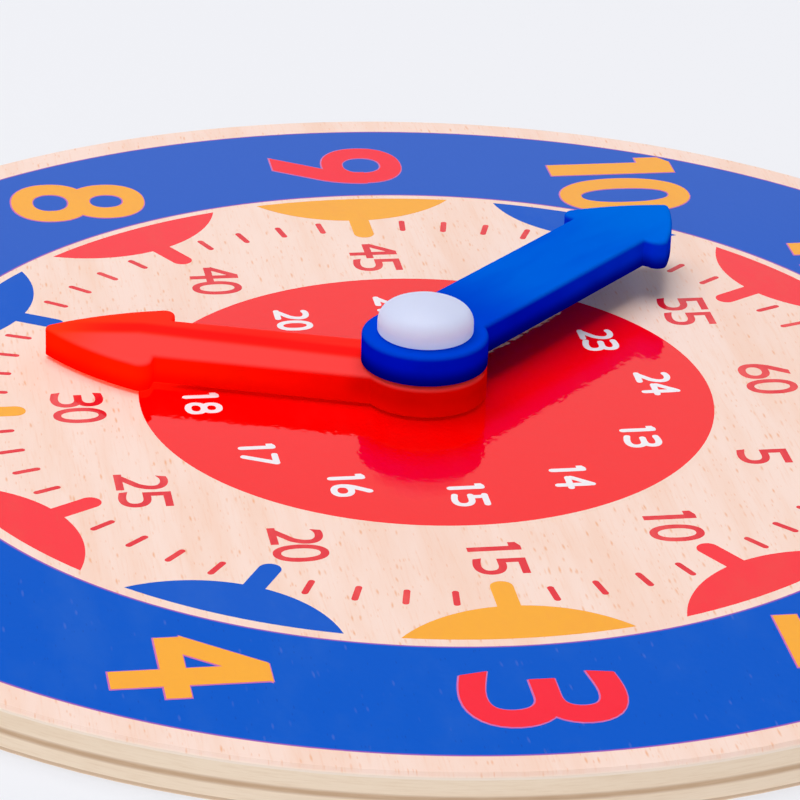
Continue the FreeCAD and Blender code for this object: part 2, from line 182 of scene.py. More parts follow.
class ClockMinuteHand(bpy.types.PropertyGroup):
    """Shape and colours that the blue plastic follows"""
    turn: angle("Turn", "Where the hand points, clockwise from twelve", 315.4)
    reach: length("Reach", "From the shank to its tip", 44.1)
    arm: length("Arm", "Half the width of its arm", 4.5)
    groove: factor("Groove", "How deep the shade of a channel along its top is", 0.0)
    # Painted shade on the side of its hub, under the other hand's hub.
    hub_shade: factor("Hub shade", "How deep the side of its hub is", 0.0)
    side: colour("Side", "Its sides", (0.0, 0.008, 0.86))
    side_tip: colour("Side at the tip", "Its sides towards the tip", (0.0, 0.040, 0.90))
    # Painted shade where its sides meet its underside.
    foot: colour("Foot", "Where its sides meet its underside", (0.0, 0.0, 0.32))
    top: colour("Top", "Its top, paler with sky light", (0.0, 0.135, 0.82))
    top_tip: colour("Top at the tip", "Its top where the moulding runs out", (0.0, 0.185, 0.86))
    # Painted sheen: a reflection on the flat beside a channel.
    sheen: colour("Sheen", "The flat beside a channel", (0.0, 0.135, 0.82))
    inner: colour("Inner", "What it makes of the light that it lets through", (0.0, 0.035, 0.55))
    # Painted glow from its underside, for light that comes through the plastic.
    under: colour("Under", "Light that leaves its underside", BLACK)


class ClockRivet(bpy.types.PropertyGroup):
    """Milky plastic of the rivet"""
    white: colour("White", "Milky white plastic", (0.78, 0.82, 0.93))
    white_deep: colour("Deep white", "Where it lies thick", (0.7176, 0.7626, 0.8835))


class ClockStage(bpy.types.PropertyGroup):
    """Floor, lights and camera"""
    floor_radius: length("Floor", "Radius of the floor", 4000.0)
    floor_drop: length("Floor gap", "How far the floor lies under the clock", 0.05)
    background: colour("Background", "Floor and backdrop", (0.871, 0.879, 0.922))
    skylight: colour("Skylight", "Colour of the light from all round", (0.98, 0.99, 1.0))
    sky_level: FloatProperty(name="Sky", description="Light from all round above the table",
                             default=0.19)
    table_level: FloatProperty(name="Table", description="Light thrown up by the pale table",
                               default=1.20)
    lamp_power: power("Lamp", "Power of the softbox overhead", 9.9)
    fill_power: power("Fill", "Power of the softbox beside the camera", 2.4)
    azimuth: angle("Azimuth", "Camera round the dial", 79.90)
    elevation: angle("Elevation", "Camera above the dial", 25.33)
    roll: angle("Roll", "Turn of the camera about its own line of sight", 2.02)
    distance: length("Distance", "Camera to its target", 410.6)
    target_x: length("Target X", "Where the camera looks, towards three", 1.20)
    target_y: length("Target Y", "Where the camera looks, towards twelve", -2.54)
    lens: FloatProperty(name="Lens", description="Focal length", default=183.96, unit="CAMERA")
    sensor: FloatProperty(name="Sensor", description="Width of the sensor", default=36.0,
                          unit="CAMERA")


# ---------------------------------------------------------------- shaders


class Wire:
    """An output socket that arithmetic works on: each expression adds its Math node."""

    def __init__(self, shader, socket):
        self.shader = shader
        self.socket = socket

    def maths(self, operation, first, second):
        return self.shader.node("ShaderNodeMath", {"operation": operation},
                                {0: first, 1: second})

    def __add__(self, other):
        return self.maths("ADD", self, other)

    def __radd__(self, other):
        return self.maths("ADD", other, self)

    def __sub__(self, other):
        return self.maths("SUBTRACT", self, other)

    def __rsub__(self, other):
        return self.maths("SUBTRACT", other, self)

    def __mul__(self, other):
        return self.maths("MULTIPLY", self, other)

    def __rmul__(self, other):
        return self.maths("MULTIPLY", other, self)

    def __neg__(self):
        return self.maths("MULTIPLY", self, -1.0)

    def largest(self, other):
        return self.maths("MAXIMUM", self, other)

    def smallest(self, other):
        return self.maths("MINIMUM", self, other)

    def size(self):
        return self.maths("ABSOLUTE", self, 0.0)

    def root(self):
        return self.maths("SQRT", self, 0.0)


class Shader:
    """The node tree of one material or world."""

    def __init__(self, name, store="materials"):
        self.block = getattr(bpy.data, store).new(name)
        self.block.use_nodes = True
        self.tree = self.block.node_tree
        self.tree.nodes.clear()

    def node(self, kind, settings, sockets, output=0):
        """Add a node, set it up, fill its inputs, and return one of its outputs, or several."""
        made = self.tree.nodes.new(kind)
        for name, value in settings.items():
            setattr(made, name, value)
        for name, value in sockets.items():
            self.fill(made.inputs[name], value)
        if isinstance(output, tuple):
            return [Wire(self, made.outputs[name]) for name in output]
        return Wire(self, made.outputs[output]) if made.outputs else None

    def fill(self, socket, value):
        """Link a wire to a socket, or write a plain value in it."""
        if isinstance(value, Wire):
            self.tree.links.new(value.socket, socket)
        elif socket.type == "RGBA":
            socket.default_value = (*value, 1.0)
        else:
            socket.default_value = value

    def place(self, scale=None, turn=0.0, shift=None):
        """Position in millimetres, turned about the dial's axis, scaled and then shifted."""
        point = self.node("ShaderNodeTexCoord", {}, {}, output="Object")
        flat = self.node("ShaderNodeMapping", {"vector_type": "POINT"},
                         {"Vector": point, "Rotation": (0.0, 0.0, turn),
                          "Scale": (1.0 / MM, 1.0 / MM, 1.0 / MM)})
        if not scale and not shift:
            return flat
        return self.node("ShaderNodeMapping", {"vector_type": "POINT"},
                         {"Vector": flat, "Location": shift or (0.0, 0.0, 0.0),
                          "Scale": scale or (1.0, 1.0, 1.0)})

    def axes(self, point):
        """The three coordinates of a position."""
        return self.node("ShaderNodeSeparateXYZ", {}, {0: point}, output=(0, 1, 2))

    def noise(self, scale, detail=2.0, roughness=0.5, turn=0.0, output=0):
        """Noise with so many waves per millimetre along each axis."""
        return self.node("ShaderNodeTexNoise", {"noise_dimensions": "3D"},
                         {"Vector": self.place(scale, turn), "Scale": 1.0, "Detail": detail,
                          "Roughness": roughness}, output)

    def step(self, value, low, high):
        """A smooth step from 0 at low to 1 at high."""
        return self.node("ShaderNodeMapRange", {"interpolation_type": "SMOOTHSTEP"},
                         {"Value": value, "From Min": low, "From Max": high})

    def fall(self, value, low, high):
        """A smooth step from 1 at low to 0 at high."""
        return 1.0 - self.step(value, low, high)

    def blend(self, share, first, second):
        """The first colour where share is 0 and the second where it is 1."""
        return self.node("ShaderNodeMix", {"data_type": "RGBA"},
                         {0: share, 6: first, 7: second}, output=2)

    def mix(self, share, first, second):
        """The same with surfaces."""
        return self.node("ShaderNodeMixShader", {}, {0: share, 1: first, 2: second})

    def bump(self, height, distance, strength):
        """Bumps of a height from 0 to 1 that stands for a distance in millimetres."""
        return self.node("ShaderNodeBump", {}, {"Height": height, "Distance": distance * MM,
                                                "Strength": strength})

    def surface(self, glow=0.0, inner=None, **sockets):
        """Finish the material with one Principled surface, and return the material.

        glow is the share of the light that the plastic lets through, and inner the colour
        that it gives that light.
        """
        names = {name.replace("_", " "): value for name, value in sockets.items()}
        shown = self.node("ShaderNodeBsdfPrincipled", {}, names)
        if glow:
            through = self.node("ShaderNodeBsdfTranslucent", {}, {"Color": inner})
            shown = self.mix(glow, shown, through)
        self.node("ShaderNodeOutputMaterial", {}, {"Surface": shown})
        return self.block


RIPPLE_DEPTH = 0.016    # millimetres
RIPPLE_STRENGTH = 0.7

# Where the look of a veneer or the ring changes, in millimetres.
FACE_EDGE = (0.45, 0.20)    # depths under the dial between which the sanded edge ends
BACK_EDGE = (0.02, 0.10)    # heights over the table between which the back's edge begins
FAR_REFLECTION_SPAN = (-60.0, 40.0)   # places along X between which the painted reflection on the ring towards nine ends


def ripple(shader):
    """The lacquer's own fine ripple on the broad waves of the veneer under it."""
    fine = shader.noise((1.3, 1.9, 0.5), detail=0.6)
    broad = shader.noise((0.05, 0.16, 0.1), detail=1.0)
    return shader.bump(fine * 1.3 + broad, RIPPLE_DEPTH, RIPPLE_STRENGTH)


def fleck_mask(shader, across=0.62, along=2.6, share=0.20):
    """Short dashes along the grain: 1 inside a ray fleck of the beech and 0 outside.

    across and along are the size of a dash's cell in millimetres, and share how many cells
    hold one.
    """
    bend = shader.noise((0.2, 0.2, 0.2), output="Color")
    bent = shader.node("ShaderNodeVectorMath", {"operation": "ADD"},
                       {0: shader.place((1.0 / along, 1.0 / across, 0.4)), 1: bend})
    nearest, tint = shader.node("ShaderNodeTexVoronoi", {}, {"Vector": bent, "Scale": 1.0},
                                output=("Distance", "Color"))
    some = shader.step(shader.axes(tint)[0], 1.0 - share * 1.6, 1.0 - share * 0.6)
    return shader.fall(nearest, 0.05, 0.34) * some


def lacquered_wood(woods):
    """Pink-white beech veneer under a gloss lacquer, with ray flecks along X."""
    shader = Shader("lacquered_beech")
    growth = shader.noise((0.035, 0.28, 0.1), detail=3.0, roughness=0.55)
    tone = shader.blend(shader.step(growth, 0.35, 0.75), woods.face, woods.face_dark)
    hair = shader.noise((0.25, 4.5, 1.0))
    tone = shader.blend(shader.step(hair, 0.5, 0.85) * 0.25, tone, woods.fleck)
    tone = shader.blend(fleck_mask(shader, 0.50, 2.4, 0.30) * 0.80, tone, woods.fleck)
    tone = shader.blend(fleck_mask(shader, 0.30, 1.3, 0.22) * 0.55, tone, woods.fleck)
    z = shader.axes(shader.place())[2]
    rim = DIAL_HEIGHT / MM
    tone = shader.blend(shader.step(z, rim - FACE_EDGE[0], rim - FACE_EDGE[1]), woods.edge, tone)
    return shader.surface(
        Base_Color=tone,
        Roughness=0.30 + 0.10 * growth,
        Specular_IOR_Level=0.20,
        Normal=ripple(shader))


def cut_ply(name, base, woods, streak, fade=None):
    """Sanded edge of a ply: pores drawn out round the rim, and bare faces behind.

    fade gives the colour of the plies on both sides and the height of this one's middle
    and half its depth, for a ply that is paler towards its glue lines.
    """
    shader = Shader(name)
    pores = shader.noise((0.35, 0.35, 5.5), detail=4.0, roughness=0.65)
    broad = shader.noise((0.06, 0.06, 0.8))
    mottle = shader.step(pores, 0.42, 0.72) * streak + shader.step(broad, 0.4, 0.8) * 0.25
    tone = shader.blend(mottle.smallest(1.0), base, woods.pore)
    if fade:
        beside, middle, half = fade
        z = shader.axes(shader.place())[2]
        tone = shader.blend(shader.step((z - middle).size(), half * 0.2, half * 1.3), tone, beside)
    return shader.surface(
        Base_Color=tone,
        Roughness=0.55 + 0.25 * pores,
        Specular_IOR_Level=0.25,
        Normal=shader.bump(pores, 0.04, 0.5))


def bare_back(woods):
    """Unprinted back veneer, sanded and left dull."""
    shader = Shader("bare_back_veneer")
    growth = shader.noise((0.03, 0.25, 0.1), detail=4.0, roughness=0.6)
    tone = shader.blend(shader.step(growth, 0.3, 0.75), woods.back, woods.pore)
    tone = shader.blend(fleck_mask(shader) * 0.45, tone, woods.core)
    pores = shader.noise((0.4, 4.0, 1.0), detail=3.0)
    z = shader.axes(shader.place())[2]
    tone = shader.blend(shader.step(z, *BACK_EDGE), tone, woods.back_edge)
    return shader.surface(
        Base_Color=tone,
        Roughness=0.55 + 0.2 * pores,
        Specular_IOR_Level=0.3,
        Normal=shader.bump(pores, 0.05, 0.5))


def flat_ink(name, inks, tint, thin, mirror=None, spread=0.35):
    """Ink under the gloss lacquer: it lies unevenly and the veneer ripples through it.

    spread is how much of the thin colour shows where the ink lies thin.
    """
    shader = Shader(name)
    broad = shader.noise((0.12, 0.30, 0.1), detail=3.0, roughness=0.6)
    hair = shader.noise((0.6, 5.0, 1.0))
    worn = shader.step(broad, 0.4, 0.75) * spread + shader.step(hair, 0.6, 0.8) * 0.3
    return shader.surface(
        Base_Color=shader.blend(worn.smallest(1.0), tint, thin),
        Roughness=inks.roughness + inks.roughness * broad,
        Specular_IOR_Level=inks.mirror if mirror is None else mirror,
        Normal=ripple(shader))


def ring_ink(sizes, inks):
    """Blue ink of the ring, mottled, with specks of the grain, the underprint at its rims and a
    painted reflection towards nine.
    """
    shader = Shader("ring_blue_ink")
    broad = shader.noise((0.07, 0.16, 0.1), detail=4.0, roughness=0.6)
    tone = shader.blend(shader.step(broad, 0.42, 0.72), inks.blue, inks.blue_thin)
    tone = shader.blend(fleck_mask(shader, 0.5, 2.2, 0.10) * 0.22, tone, inks.blue_fleck)
    tone = shader.blend(fleck_mask(shader, 0.3, 1.2, 0.12) * 0.35, tone, inks.blue_pore)
    x, y, _ = shader.axes(shader.place(shift=(-(sizes.offset_x + sizes.ring_shift) / MM,
                                              -sizes.offset_y / MM, 0.0)))
    # painted reflection: the ring paler towards nine, its far side
    tone = shader.blend(shader.fall(x, *FAR_REFLECTION_SPAN), tone, inks.blue_far_reflection)
    radius = (x * x + y * y).root()
    inner, outer, rim = (size / MM for size in (sizes.ring_inner, sizes.ring_outer, sizes.ring_rim))
    rims = shader.fall(radius, inner, inner + rim) + shader.step(radius, outer - rim, outer)
    tone = shader.blend(rims * 0.8, tone, inks.violet)
    return shader.surface(
        Base_Color=tone,
        Roughness=inks.roughness + inks.roughness * broad,
        Specular_IOR_Level=inks.mirror_ring,
        Normal=ripple(shader))


# The moulded plastics, with lengths in millimetres.
EDGE_SHADE = (0.55, 0.05)   # depths between which the side's colour runs into the top's
FOOT_SHADE = 1.8            # height over which the side's colour clears from the painted shade at the foot
COVERED = (5.5, 8.0)        # radii between which the other hand's shade ends
HUB_SHADE = (6.0, 18.0)     # radii between which the top clears from the cap's shade
SIDE_CLEARS = 10.0          # radius from which the side pales towards the tip
SKIN = 0.02                 # thickness in which the underside's painted glow is held
HAND_GLOW = 0.28            # share of the light that the hands let through
HAND_SHINE = 0.16           # share of its colour that a hand sends out as a painted glow
ARM_SHINE = 0.12            # share of the underside's painted glow that leaves the arm
CAP_GLOW = 0.40             # share of the light that the rivet lets through
CAP_SHINE = 0.10            # share of its colour that the rivet sends out as a painted glow


def moulded(name, node, hand):
    """Plastic of a hand: deep at its sides, paler on top with painted sky light, with faint flow
    lines and sinks, painted shade, a painted sheen and a painted glow.
    """
    shader = Shader(name)
    base, rise = (corner.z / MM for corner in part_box(node))
    reach, arm, groove = hand.reach / MM, hand.arm / MM, hand.groove
    across, along, z = shader.axes(shader.place(turn=hand.turn))
    cloud = shader.noise((0.12, 0.12, 0.12))
    flow = shader.noise((0.30, 0.07, 0.2), turn=hand.turn)
    grit = shader.noise((1.4, 1.4, 1.4), detail=3.0)

    # the top: flow lines, a paler tip, the cap's painted shadow, painted shade in the channel and a
    # painted sheen on the flat beside it
    red, green, blue = hand.top
    flow_and_shade = (red, green * (0.45 - 0.3 * groove), blue * (0.85 - 0.6 * groove))
    top = shader.blend(shader.step(flow, 0.42, 0.70) * 0.35, hand.top, flow_and_shade)
    top = shader.blend(shader.step(along, reach * 0.55, reach) * 0.8, top, hand.top_tip)
    top = shader.blend(shader.fall(along, *HUB_SHADE) * (1.0 - groove), top, flow_and_shade)
    fold = across - arm * 0.14 - along * (arm * 0.36 / reach)
    fold = fold + (along - reach * 0.75).largest(0.0) * 0.25
    open_end = shader.fall(along, reach * 0.80, reach) * groove
    # painted sheen, a reflection, on the flat beside the channel
    top = shader.blend(shader.step(-fold, arm * 0.20, arm * 0.50) * open_end, top, hand.sheen)
    # painted shade in the channel along the top
    top = shader.blend(shader.fall(fold.size(), arm * 0.12, arm * 0.38) * open_end, top, flow_and_shade)

    # the sides: paler to the tip, deeper with painted shade under the other hand's hub and towards
    # the foot
    covered = shader.fall(along, *COVERED) * hand.hub_shade
    # deep serves both the cloudy tone and the painted shade under the other hand's hub
    deep = tuple(value * 0.62 for value in hand.side)
    side = shader.blend(shader.step(along, SIDE_CLEARS, reach * 0.8), hand.side, hand.side_tip)
    side = shader.blend(shader.step(cloud, 0.35, 0.75) * 0.4 + covered, side, deep)
    lifted = shader.step(z, base, base + FOOT_SHADE)
    # painted shade towards the foot of the sides
    side = shader.blend(lifted, hand.foot, side)
    # painted sky light: the top paler than the sides
    tone = shader.blend(shader.step(z, rise - EDGE_SHADE[0], rise - EDGE_SHADE[1]), side, top)

    # the painted glow that it sends out, for light that comes through the plastic: most of it down
    # from under its head
    shine = shader.blend(lifted * HAND_SHINE * (1.0 - covered), BLACK, tone)
    faint = tuple(value * ARM_SHINE for value in hand.under)
    under = shader.blend(shader.step(along, reach * 0.58, reach * 0.68), faint, hand.under)
    sink = shader.fall(across.size(), arm * 0.25, arm * 0.75)
    return shader.surface(
        glow=HAND_GLOW,
        inner=hand.inner,
        Base_Color=tone,
        Roughness=0.22 + 0.10 * grit,
        Specular_IOR_Level=0.0,
        Emission_Color=shader.blend(shader.step(z, base, base + SKIN), under, shine),
        Emission_Strength=1.0,
        Normal=shader.bump(cloud * 0.15 + grit * 0.03 - sink * 0.3, 0.10, 0.5))


def milky(rivet):
    """White plastic that lets a little light through, with a painted glow."""
    shader = Shader("milky_white_plastic")
    cloud = shader.noise((0.25, 0.25, 0.25))
    grit = shader.noise((1.2, 1.2, 1.2), detail=3.0)
    tone = shader.blend(shader.step(cloud, 0.3, 0.8) * 0.3, rivet.white, rivet.white_deep)
    return shader.surface(
        glow=CAP_GLOW,
        inner=rivet.white,
        Base_Color=tone,
        # painted glow: part of its colour sent out as light
        Emission_Color=tone,
        Emission_Strength=CAP_SHINE,
        Roughness=0.30 + 0.15 * grit,
        Specular_IOR_Level=0.25,
        Normal=shader.bump(grit, 0.02, 0.4))


def paint(node, material):
    """Give a frame node its finish: every one of its slots takes the material."""
    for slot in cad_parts[node].material_slots:
        slot.material = material


# ---------------------------------------------------------------- outlines


MERGE = 1e-4        # corners this near in millimetres are one
CUT_MERGE = 1e-5    # and this near, where finished shapes meet or cross
FLAT_CORNER = math.radians(0.05)    # corners flatter than this are taken out
MINUTE_TURN = 6.0   # degrees of the dial in a minute


def verts_of(geometry):
    """The vertices among what an operator made."""
    return [item for item in geometry if isinstance(item, bmesh.types.BMVert)]


class Pen:
    """Draws one closed outline in the plane of the dial, in millimetres, and fills it."""

    def __init__(self, mesh, x, y):
        self.mesh = mesh
        self.tip = mesh.verts.new((x, y, 0.0))

    def line(self, x, y):
        """Go straight to a point."""
        made = bmesh.ops.extrude_vert_indiv(self.mesh, verts=[self.tip])
        self.tip = made["verts"][0]
        self.tip.co = (x, y, 0.0)

    def arc(self, centre_y, degrees, steps):
        """Go round a centre on the Y axis, anticlockwise."""
        made = bmesh.ops.spin(self.mesh, geom=[self.tip], cent=(0.0, centre_y, 0.0),
                              axis=(0.0, 0.0, 1.0), angle=math.radians(degrees), steps=steps,
                              use_duplicate=False)
        self.tip = verts_of(made["geom_last"])[0]

    def fill(self):
        """Close the outline where it started and give it a face."""
        bmesh.ops.remove_doubles(self.mesh, verts=self.mesh.verts[:], dist=MERGE)
        bmesh.ops.contextual_create(self.mesh, geom=self.mesh.edges[:])


def turns_left(loop):
    """Whether a loop of points runs anticlockwise."""
    after = loop[1:] + loop[:1]
    return sum(a[0] * b[1] - b[0] * a[1] for a, b in zip(loop, after)) > 0.0


def union_sheet(mesh, shapes):
    """Fill overlapping outlines as one flat sheet. Each is an outer loop and its hole, or None."""
    points, faces, rules = [], [], []
    for outer, hole in shapes:
        loops = []
        for loop in (outer, hole):
            if loop:
                numbers = list(range(len(points), len(points) + len(loop)))
                faces.append(numbers if turns_left(loop) else numbers[::-1])
                loops.append(len(faces) - 1)
                points.extend(Vector(point) for point in loop)
        rules.append(loops)
    places, _, triangles, _, _, origins = delaunay_2d_cdt(points, [], faces, 1, CUT_MERGE, True)
    verts = [mesh.verts.new((place.x, place.y, 0.0)) for place in places]
    for triangle, origin in zip(triangles, origins):
        inked = any(rule[0] in origin and (len(rule) == 1 or rule[1] not in origin)
                    for rule in rules)
        if inked:
            mesh.faces.new([verts[index] for index in triangle])
    bmesh.ops.delete(mesh, geom=[vert for vert in mesh.verts if not vert.link_faces],
                     context="VERTS")
    bmesh.ops.dissolve_limit(mesh, angle_limit=FLAT_CORNER, verts=mesh.verts[:],
                             edges=mesh.edges[:])


def film_levels(layer, sizes):
    """Heights in millimetres between which a film of ink lies. layer counts from the dial up."""
    return (DIAL_HEIGHT - sizes.sunk) / MM, (DIAL_HEIGHT + layer * sizes.film) / MM


def ink_object(name, mesh, layer, material, sizes):
    """Turn a flat sheet in millimetres into a film of ink on the dial."""
    low, high = film_levels(layer, sizes)
    made = bmesh.ops.extrude_face_region(mesh, geom=mesh.faces[:], use_keep_orig=True)
    bmesh.ops.translate(mesh, verts=mesh.verts[:], vec=(0.0, 0.0, low))
    bmesh.ops.translate(mesh, verts=verts_of(made["geom"]), vec=(0.0, 0.0, high - low))
    bmesh.ops.triangulate(mesh, faces=mesh.faces[:])
    dial_object(name, mesh, material, sizes)


def band(name, inner, outer, material, sizes, steps, shift=0.0):
    """A flat ring of ink, turned from its thin section."""
    mesh = bmesh.new()
    low, high = film_levels(1, sizes)
    corners = ((inner, 0.0, low), (outer, 0.0, low), (outer, 0.0, high), (inner, 0.0, high))
    section = [mesh.verts.new(corner) for corner in corners]
    edges = [mesh.edges.new(pair) for pair in zip(section, section[1:] + section[:1])]
    bmesh.ops.spin(mesh, geom=section + edges, cent=(0.0, 0.0, 0.0), axis=(0.0, 0.0, 1.0),
                   angle=2.0 * math.pi, steps=steps, use_merge=True)
    bmesh.ops.translate(mesh, verts=mesh.verts[:], vec=(shift, 0.0, 0.0))
    dial_object(name, mesh, material, sizes)


def dial_object(name, mesh, material, sizes):
    """Place a closed mesh in millimetres on the dial, and let it ride on the board."""
    bmesh.ops.remove_doubles(mesh, verts=mesh.verts[:], dist=CUT_MERGE)
    bmesh.ops.recalc_face_normals(mesh, faces=mesh.faces[:])
    bmesh.ops.transform(mesh, verts=mesh.verts[:],
                        matrix=Matrix.Translation((sizes.offset_x, sizes.offset_y, 0.0))
                        @ Matrix.Scale(MM, 4))
    piece = mesh_object(name, mesh, material)
    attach(piece, "board")


def mesh_object(name, mesh, material):
    """Make an object of a finished mesh."""
    data = bpy.data.meshes.new(name)
    mesh.to_mesh(data)
    mesh.free()
    data.materials.append(material)
    made = bpy.data.objects.new(name, data)
    bpy.context.scene.collection.objects.link(made)
    return made


def turned_copies(mesh, minutes):
    """Leave a copy of the whole mesh, drawn at twelve o'clock, at each of these minutes."""
    first = mesh.verts[:] + mesh.edges[:] + mesh.faces[:]
    for minute in minutes[1:]:
        made = bmesh.ops.duplicate(mesh, geom=first)
        turn_to(mesh, made["geom"], minute)
    turn_to(mesh, first, minutes[0])


def turn_to(mesh, geometry, minute):
    """Turn what is drawn at twelve o'clock to a minute of the dial."""
    bmesh.ops.rotate(mesh, verts=verts_of(geometry), cent=(0.0, 0.0, 0.0),
                     matrix=Matrix.Rotation(-math.radians(MINUTE_TURN * minute), 3, "Z"))


# ---------------------------------------------------------------- figures

CURVE_STEPS = 8
CAP_STEPS = 6
OVAL_STEPS = 48
OVAL_POWER = 2.2
OVERSHOOT = 1.03

ONE_WIDTH = 1.45    # least width of a 1 in stems
FLAG_DROP = 0.08    # how far the flag of a 1 falls, as a share of its height
FLAG_DEPTH = 0.9    # thickness of that flag in strokes

# Width of each figure as a share of its height.
WIDTHS = {"0": 0.69, "1": 0.31, "2": 0.675, "3": 0.70, "4": 0.765, "5": 0.66,
          "6": 0.715, "7": 0.67, "8": 0.735, "9": 0.715}
# Extra space after or before a figure, in the style's unit.
AFTER = {"1": 1.0, "4": -0.3}
BEFORE = {"5": 0.25}


class Style(NamedTuple):
    """One size of the dial's lettering, with its lengths in millimetres."""
    height: float
    stroke: float
    contrast: float     # thickness of a level stroke as a share of an upright one's
    gap: float          # space between two figures
    unit: float         # what AFTER and BEFORE count in
    stem: float         # thickness of the stem of a 1 as a share of the stroke's
    stretch: float = 1.0
    round_ends: bool = False


HOUR_STYLE = Style(height=14.3, stroke=2.9, contrast=0.78, gap=0.4, unit=1.0, stem=1.08)
MINUTE_STYLE = Style(height=5.15, stroke=0.78, contrast=1.0, gap=0.18, unit=1.0, stem=1.0,
                     stretch=0.97)
DAY_STYLE = Style(height=3.68, stroke=0.66, contrast=0.98, gap=0.28, unit=0.7, stem=1.05,
                  round_ends=True)


def oval_stroke(middle_x, middle_y, radius_x, radius_y):
    return {"kind": "oval", "at": (middle_x, middle_y, radius_x, radius_y)}


def trail(start, *legs, cuts=(None, None), weight=1.0):
    return {"kind": "trail", "start": start, "legs": legs, "cuts": cuts, "weight": weight}


def strokes_of(figure, half_x, half_y):
    """Centre lines of a figure in its box, where 0 and 1 are the middles of the outer strokes."""
    if figure == "0":
        return [oval_stroke(0.5, 0.5, 0.5, 0.5)]
    if figure == "1":
        return [trail((1.0, 1.0), (1.0, 0.0), cuts=("top", "base"), weight=1.08),
                {"kind": "flag"}]
    if figure == "2":
        return [trail((0.10, 0.945), (0.20, 0.98, 0.32, 1.0, 0.46, 1.0),
                      (0.84, 1.0, 1.03, 0.88, 1.03, 0.73), (1.03, 0.60, 0.94, 0.50, 0.82, 0.39),
                      (half_x * 0.45, 0.0), cuts=(0.25, "level")),
                trail((0.0, 0.0), (1.0, 0.0), cuts=("left", "right"))]
    if figure == "3":
        return [trail((0.14 - half_x, 0.965), (0.2, 0.99, 0.32, 1.0, 0.45, 1.0),
                      (0.80, 1.0, 0.97, 0.91, 0.97, 0.77), (0.97, 0.63, 0.80, 0.53, 0.50, 0.53),
                      (0.26 - half_x, 0.53), cuts=(0.15, 0.0)),
                trail((0.26 - half_x, 0.53), (0.50, 0.53), (0.82, 0.53, 1.0, 0.42, 1.0, 0.265),
                      (1.0, 0.10, 0.80, 0.0, 0.46, 0.0),
                      (0.28, 0.0, 0.11, 0.02, 0.035 - half_x, 0.06), cuts=(0.0, -0.15))]
    if figure == "4":
        return [trail((0.72, 1.0), (0.72, 0.0), cuts=("top", "base"), weight=1.05),
                trail((0.0, 0.385), (1.0, 0.385), cuts=("left", "right")),
                trail((0.72, 1.0 + half_y), (0.0, 0.385 + half_y), cuts=("level", "level"))]
    if figure == "5":
        return [trail((0.085, 1.0), (0.085, 0.55), cuts=("top", "level")),
                trail((0.085 - half_x, 1.0), (1.0, 1.0), cuts=(0.0, "right")),
                trail((0.085 - half_x, 0.55), (0.40, 0.55), (0.80, 0.55, 1.0, 0.44, 1.0, 0.28),
                      (1.0, 0.10, 0.78, 0.0, 0.42, 0.0),
                      (0.26, 0.0, 0.10, 0.015, 0.02 - half_x, 0.05), cuts=(0.0, -0.15))]
    if figure == "6":
        return [upside_down(stroke) for stroke in strokes_of("9", half_x, half_y)]
    if figure == "7":
        return [trail((0.0, 1.0), (1.0, 1.0), cuts=("left", "right")),
                trail((1.0, 1.0), (0.14, 0.0), cuts=("level", "base"), weight=1.08)]
    if figure == "8":
        return [oval_stroke(0.5, 0.755, 0.43, 0.245), oval_stroke(0.5, 0.2545, 0.5, 0.2545)]
    if figure == "9":
        return [oval_stroke(0.5, 0.73, 0.5, 0.27),
                trail((1.0, 0.73), (1.0, 0.60, 0.95, 0.50, 0.86, 0.38), (0.35, -0.09),
                      cuts=(None, "base"), weight=1.1)]
    raise ValueError("no figure " + figure)


def upside_down(stroke):
    """The same stroke turned by half a turn, as a 6 is a 9."""
    if stroke["kind"] == "oval":
        middle_x, middle_y, radius_x, radius_y = stroke["at"]
        return oval_stroke(1.0 - middle_x, 1.0 - middle_y, radius_x, radius_y)
    start = tuple(1.0 - value for value in stroke["start"])
    legs = [tuple(1.0 - value for value in leg) for leg in stroke["legs"]]
    return trail(start, *legs, cuts=(None, "top"), weight=stroke["weight"])


def along(start, legs):
    """Points along a trail of straight legs (x, y) and cubic legs (two handles and an end)."""
    points = [start]
    for leg in legs:
        if len(leg) == 2:
            points.append(tuple(leg))
            continue
        corners = (points[-1], leg[0:2], leg[2:4], leg[4:6])
        for step in range(1, CURVE_STEPS + 1):
            t = step / CURVE_STEPS
            shares = ((1 - t) ** 3, 3 * t * (1 - t) ** 2, 3 * t * t * (1 - t), t ** 3)
            points.append(tuple(
                sum(share * corner[axis] for share, corner in zip(shares, corners))
                for axis in (0, 1)))
    return points


def heading(begin, finish):
    """Unit direction from one point to another."""
    reach = math.dist(begin, finish)
    return (finish[0] - begin[0]) / reach, (finish[1] - begin[1]) / reach


def half_circle(middle, begin):
    """Points between a point on a circle and the one opposite, clockwise, without those two."""
    radius = math.dist(middle, begin)
    start = math.atan2(begin[1] - middle[1], begin[0] - middle[0])
    turns = [start - math.pi * step / CAP_STEPS for step in range(1, CAP_STEPS)]
    return [(middle[0] + radius * math.cos(turn), middle[1] + radius * math.sin(turn))
            for turn in turns]


def cut_point(x, y, point, cut, travel, box):
    """Where one side of a stroke ends, for one of its cuts.

    A cut is the side of the box it lies on, "level" for a flat one at its own height, a
    step in x for each step in y, or None for one square to the stroke.
    """
    left, top, right, base = box
    if cut in ("top", "base", "level"):
        level = {"top": top, "base": base, "level": point[1]}[cut]
        return x + (level - y) * travel[0] / travel[1], level
    if cut in ("left", "right"):
        edge = left if cut == "left" else right
        return edge, y + (edge - x) * travel[1] / travel[0]
    if cut is not None:
        shift = (point[0] - x + cut * (y - point[1])) / (travel[0] - cut * travel[1])
        return x + shift * travel[0], y + shift * travel[1]
    return x, y


def leads_back(begin, finish, travel):
    """Whether a step goes against the way that a stroke travels."""
    return (finish[0] - begin[0]) * travel[0] + (finish[1] - begin[1]) * travel[1] < 0.0


